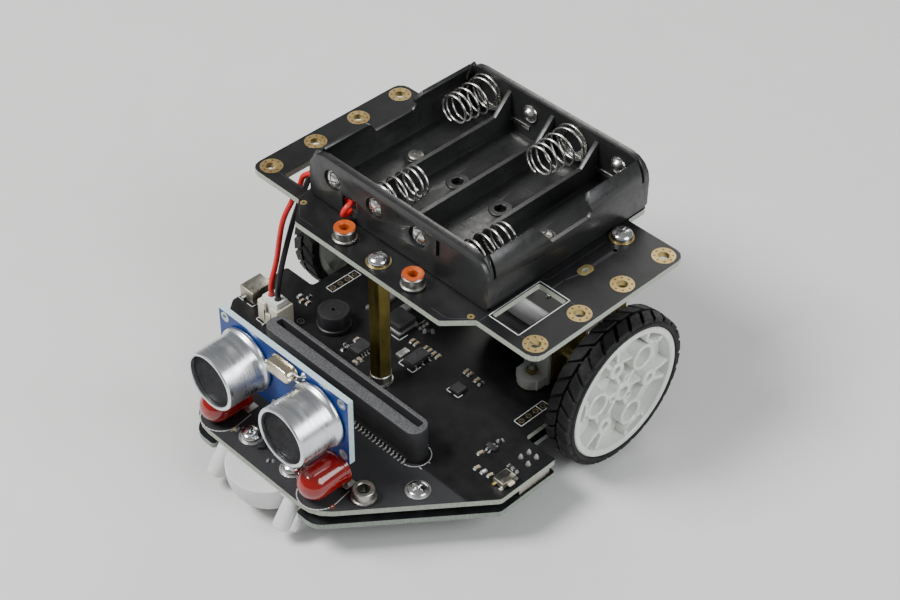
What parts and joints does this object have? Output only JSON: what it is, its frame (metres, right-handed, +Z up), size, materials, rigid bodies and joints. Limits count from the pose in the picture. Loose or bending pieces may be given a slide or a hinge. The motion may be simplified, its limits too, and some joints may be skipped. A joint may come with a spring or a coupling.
{
  "type": "two wheel robot car",
  "caption": "Small two wheel robot car: stacked circuit boards, geared wheels, ball caster, ultrasonic eyes, headlights and an open battery holder.",
  "frame": {"origin": "centre of the car's box, on the ground", "axes": "+Z up; the car faces -Y; +X is the side with the push button; left and right are as seen from the front"},
  "size_m": [0.101, 0.111, 0.0691],
  "materials": {
    "circuit_board": "matte black solder mask with a fine hatch, pale glass-fibre edges",
    "smoke_plate": "dark smoky plate with grey edges",
    "sensor_circuit_board": "blue solder mask, pale edges",
    "black_plastic": "moulded black plastic, slightly glossy edges",
    "grey_socket": "black plastic with a rubbed, speckled grey top",
    "ivory_plastic": "moulded ivory nylon",
    "white_plastic": "moulded white plastic",
    "clear_nylon": "translucent milky nylon",
    "red_lens": "transparent red lens",
    "tyre": "black rubber with a block tread",
    "brass": "machined brass",
    "steel": "nickel plated steel",
    "chrome": "bright plated steel",
    "aluminium": "drawn aluminium can",
    "spring_steel": "bright plated spring wire",
    "red_wire": "red insulation",
    "black_wire": "black insulation"
  },
  "bodies": {
    "chassis": {"base_nut_front": "steel", "base_nut_left": "steel", "base_nut_right": "steel", "battery_holder": "black_plastic", "battery_plug": "white_plastic", "battery_socket": "ivory_plastic", "battery_spring_1": "spring_steel", "battery_spring_2": "spring_steel", "battery_spring_3": "spring_steel", "battery_spring_4": "spring_steel", "battery_wire_black": "black_wire", "battery_wire_red": "red_wire", "bracket_left": "clear_nylon", "bracket_right": "clear_nylon", "button_body": "steel", "buzzer": "black_plastic", "caster_housing": "white_plastic", "caster_screw_left": "chrome", "caster_screw_right": "chrome", "deck_screw_front": "chrome", "deck_screw_left": "chrome", "deck_screw_right": "chrome", "deck_spacer_left": "steel", "deck_spacer_right": "steel", "edge_connector": "grey_socket", "front_nut_right": "steel", "gearbox_left": "brass", "gearbox_right": "brass", "headlight_left": "red_lens", "headlight_right": "red_lens", "lower_plate": "smoke_plate", "main_board": "circuit_board", "motor_left": "steel", "motor_right": "steel", "plate_screw_left": "chrome", "plate_screw_right": "chrome", "plate_spacer_left": "brass", "plate_spacer_right": "brass", "sensor_board": "sensor_circuit_board", "sensor_header": "black_plastic", "standoff_front": "brass", "standoff_left": "brass", "standoff_right": "brass", "switch_body": "steel", "top_plate": "circuit_board", "transducer_left": "aluminium", "transducer_right": "aluminium"},
    "left_wheel": {"wheel_left": "white_plastic", "tyre_left": "tyre", "output_shaft_left": "steel"},
    "right_wheel": {"wheel_right": "white_plastic", "tyre_right": "tyre", "output_shaft_right": "steel"},
    "left_idler": {"idler_gear_left": "brass"},
    "right_idler": {"idler_gear_right": "brass"},
    "left_pinion": {"pinion_left": "brass"},
    "right_pinion": {"pinion_right": "brass"},
    "slider": {"switch_slider": "black_plastic"},
    "button": {"button_plunger": "ivory_plastic"},
    "ball": {"caster_ball": "chrome"}
  },
  "joints": [
    {"name": "left_wheel_spin", "type": "hinge", "parent": "chassis", "child": "left_wheel", "pos_m": [-0.04645, 0.0286, 0.0215], "axis": [1, 0, 0], "continuous": true},
    {"name": "right_wheel_spin", "type": "hinge", "parent": "chassis", "child": "right_wheel", "pos_m": [0.04645, 0.0286, 0.0215], "axis": [1, 0, 0], "continuous": true},
    {"name": "left_idler_spin", "type": "hinge", "parent": "chassis", "child": "left_idler", "pos_m": [-0.0255, 0.0316, 0.0215], "axis": [1, 0, 0], "continuous": true},
    {"name": "left_pinion_spin", "type": "hinge", "parent": "chassis", "child": "left_pinion", "pos_m": [-0.024, 0.0286, 0.0215], "axis": [1, 0, 0], "continuous": true},
    {"name": "right_idler_spin", "type": "hinge", "parent": "chassis", "child": "right_idler", "pos_m": [0.0255, 0.0316, 0.0215], "axis": [1, 0, 0], "continuous": true},
    {"name": "right_pinion_spin", "type": "hinge", "parent": "chassis", "child": "right_pinion", "pos_m": [0.024, 0.0286, 0.0215], "axis": [1, 0, 0], "continuous": true},
    {"name": "power_switch_slide", "type": "slide", "parent": "chassis", "child": "slider", "axis": [0, 1, 0], "range_m": [0, 0.002]},
    {"name": "side_button_press", "type": "slide", "parent": "chassis", "child": "button", "axis": [-1, 0, 0], "range_m": [0, 0.0003], "stiffness_N_per_m": 4000},
    {"name": "caster_ball_roll", "type": "hinge", "parent": "chassis", "child": "ball", "pos_m": [0, -0.0449, 0.005], "axis": [1, 0, 0], "continuous": true}
  ],
  "couplings": [
    {"joint": "left_idler_spin", "follows": "left_wheel_spin", "ratio": -2},
    {"joint": "left_pinion_spin", "follows": "left_wheel_spin", "ratio": 4},
    {"joint": "right_idler_spin", "follows": "right_wheel_spin", "ratio": -2},
    {"joint": "right_pinion_spin", "follows": "right_wheel_spin", "ratio": 4}
  ]
}
